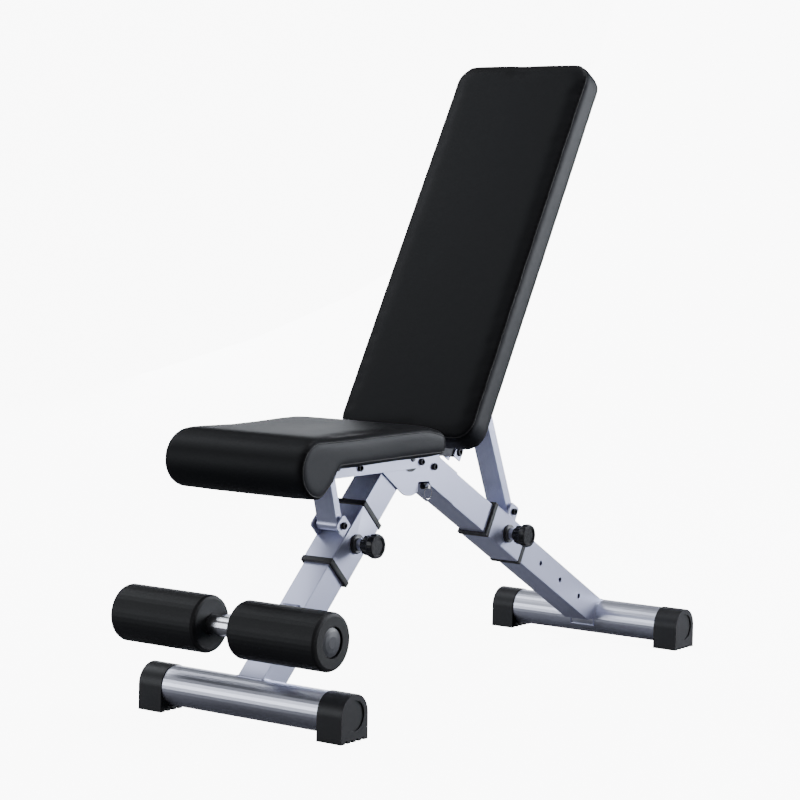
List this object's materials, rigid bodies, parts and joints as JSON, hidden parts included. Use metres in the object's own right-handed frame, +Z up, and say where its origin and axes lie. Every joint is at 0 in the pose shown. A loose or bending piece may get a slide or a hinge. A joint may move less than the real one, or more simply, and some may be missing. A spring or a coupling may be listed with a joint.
{
  "type": "adjustable weight bench",
  "caption": "Folding weight bench with a hinged seat and backrest, pull-pin sleeves on two leaning legs, and foam leg rollers in front.",
  "frame": {"origin": "on the floor, at the middle of the bench's bounding box", "axes": "+X to the bench's side with the knobs, +Y to the rear foot, +Z up"},
  "size_m": [0.4004, 1.1435, 1.0483],
  "materials": {
    "painted_frame": "satin silver-lavender paint",
    "steel": "bright turned steel",
    "black_steel": "black oxide",
    "black_plastic": "moulded, matte",
    "leatherette": "fine grain",
    "foam": "closed-cell foam, matte"
  },
  "bodies": {
    "frame": {"rear_leg": "painted_frame", "rear_foot_tube": "painted_frame", "rear_foot_cap_left": "black_plastic", "rear_foot_cap_right": "black_plastic", "hub_plate_left": "painted_frame", "hub_plate_right": "painted_frame", "hinge_arm": "black_steel", "hub_bolt": "black_steel", "hub_spacer_left": "steel", "hub_spacer_right": "steel", "pivot_bolt": "black_steel", "pivot_washer_left": "black_plastic", "pivot_washer_right": "black_plastic", "lock_barrel": "black_steel", "back_pivot_bolt": "black_steel"},
    "lock_pin_body": {"lock_pin": "steel", "lock_ring": "steel"},
    "front_leg_body": {"front_leg": "painted_frame", "front_foot_tube": "painted_frame", "front_foot_cap_left": "black_plastic", "front_foot_cap_right": "black_plastic", "roller_arm": "painted_frame", "roller_tube": "steel", "roller_cap_left": "black_plastic", "roller_cap_right": "black_plastic"},
    "roller_left": {"foam_roller_left": "foam"},
    "roller_right": {"foam_roller_right": "foam"},
    "front_sleeve_body": {"front_sleeve": "painted_frame", "front_collar_lower": "black_plastic", "front_collar_upper": "black_plastic", "front_plunger_barrel": "steel", "front_strut_bolt": "black_steel"},
    "front_knob_body": {"front_knob": "black_plastic", "front_pin": "steel"},
    "seat_strut_body": {"seat_strut": "painted_frame"},
    "seat": {"seat_frame": "painted_frame", "seat_pad": "leatherette", "seat_rail_bolt_front": "black_steel", "seat_stop_screw_left": "black_steel", "seat_stop_screw_right": "black_steel", "seat_strut_screw_left": "black_steel", "seat_strut_screw_right": "black_steel"},
    "backrest": {"backrest_frame": "painted_frame", "back_rail_left": "painted_frame", "back_rail_right": "painted_frame", "back_lug_left": "painted_frame", "back_lug_right": "painted_frame", "backrest_pad": "leatherette", "back_strut_screw_left": "black_steel", "back_strut_screw_right": "black_steel"},
    "rear_sleeve_body": {"rear_sleeve": "painted_frame", "rear_collar_lower": "black_plastic", "rear_collar_upper": "black_plastic", "rear_plunger_barrel": "steel", "rear_strut_bolt": "black_steel"},
    "rear_knob_body": {"rear_knob": "black_plastic", "rear_pin": "steel"},
    "back_strut_body": {"back_strut": "painted_frame"}
  },
  "joints": [
    {"name": "leg_fold", "type": "hinge", "parent": "frame", "child": "front_leg_body", "pos_m": [0, -0.0957, 0.384], "axis": [1, 0, 0], "range_deg": [0, 82]},
    {"name": "seat_tilt", "type": "hinge", "parent": "frame", "child": "seat", "pos_m": [0, -0.0957, 0.384], "axis": [1, 0, 0], "range_deg": [-2, 8]},
    {"name": "front_sleeve_slide", "type": "slide", "parent": "front_leg_body", "child": "front_sleeve_body", "axis": [0, 0.7139, 0.7003], "range_m": [-0.0486, 0.0123]},
    {"name": "seat_strut_swing", "type": "hinge", "parent": "front_sleeve_body", "child": "seat_strut_body", "pos_m": [0, -0.27551, 0.28928], "axis": [1, 0, 0], "range_deg": [-21.3, 5.4]},
    {"name": "front_knob_pull", "type": "slide", "parent": "front_sleeve_body", "child": "front_knob_body", "axis": [1, 0, 0], "range_m": [0, 0.008], "stiffness_N_per_m": 1200, "springref_m": -0.002},
    {"name": "back_tilt", "type": "hinge", "parent": "frame", "child": "backrest", "pos_m": [0, 0.069, 0.3812], "axis": [1, 0, 0], "range_deg": [-60.5, 0]},
    {"name": "rear_sleeve_slide", "type": "slide", "parent": "frame", "child": "rear_sleeve_body", "axis": [0, 0.8711, -0.4911], "range_m": [0, 0.1942]},
    {"name": "back_strut_swing", "type": "hinge", "parent": "rear_sleeve_body", "child": "back_strut_body", "pos_m": [0, 0.22163, 0.26595], "axis": [1, 0, 0], "range_deg": [0, 5.5]},
    {"name": "rear_knob_pull", "type": "slide", "parent": "rear_sleeve_body", "child": "rear_knob_body", "axis": [1, 0, 0], "range_m": [0, 0.008], "stiffness_N_per_m": 1200, "springref_m": -0.002},
    {"name": "roller_left_spin", "type": "hinge", "parent": "front_leg_body", "child": "roller_left", "pos_m": [0, -0.527, 0.1577], "axis": [1, 0, 0], "continuous": true},
    {"name": "roller_right_spin", "type": "hinge", "parent": "front_leg_body", "child": "roller_right", "pos_m": [0, -0.527, 0.1577], "axis": [1, 0, 0], "continuous": true},
    {"name": "lock_pin_pull", "type": "slide", "parent": "frame", "child": "lock_pin_body", "axis": [1, 0, 0], "range_m": [0, 0.008], "stiffness_N_per_m": 800, "springref_m": -0.002}
  ],
  "couplings": [
    {"joint": "front_sleeve_slide", "follows": "seat_tilt", "m_per_rad": -0.34706},
    {"joint": "seat_strut_swing", "follows": "seat_tilt", "ratio": -2.6478},
    {"joint": "rear_sleeve_slide", "follows": "back_tilt", "m_per_rad": -0.18374},
    {"joint": "back_strut_swing", "follows": "back_tilt", "ratio": -0.08884}
  ]
}
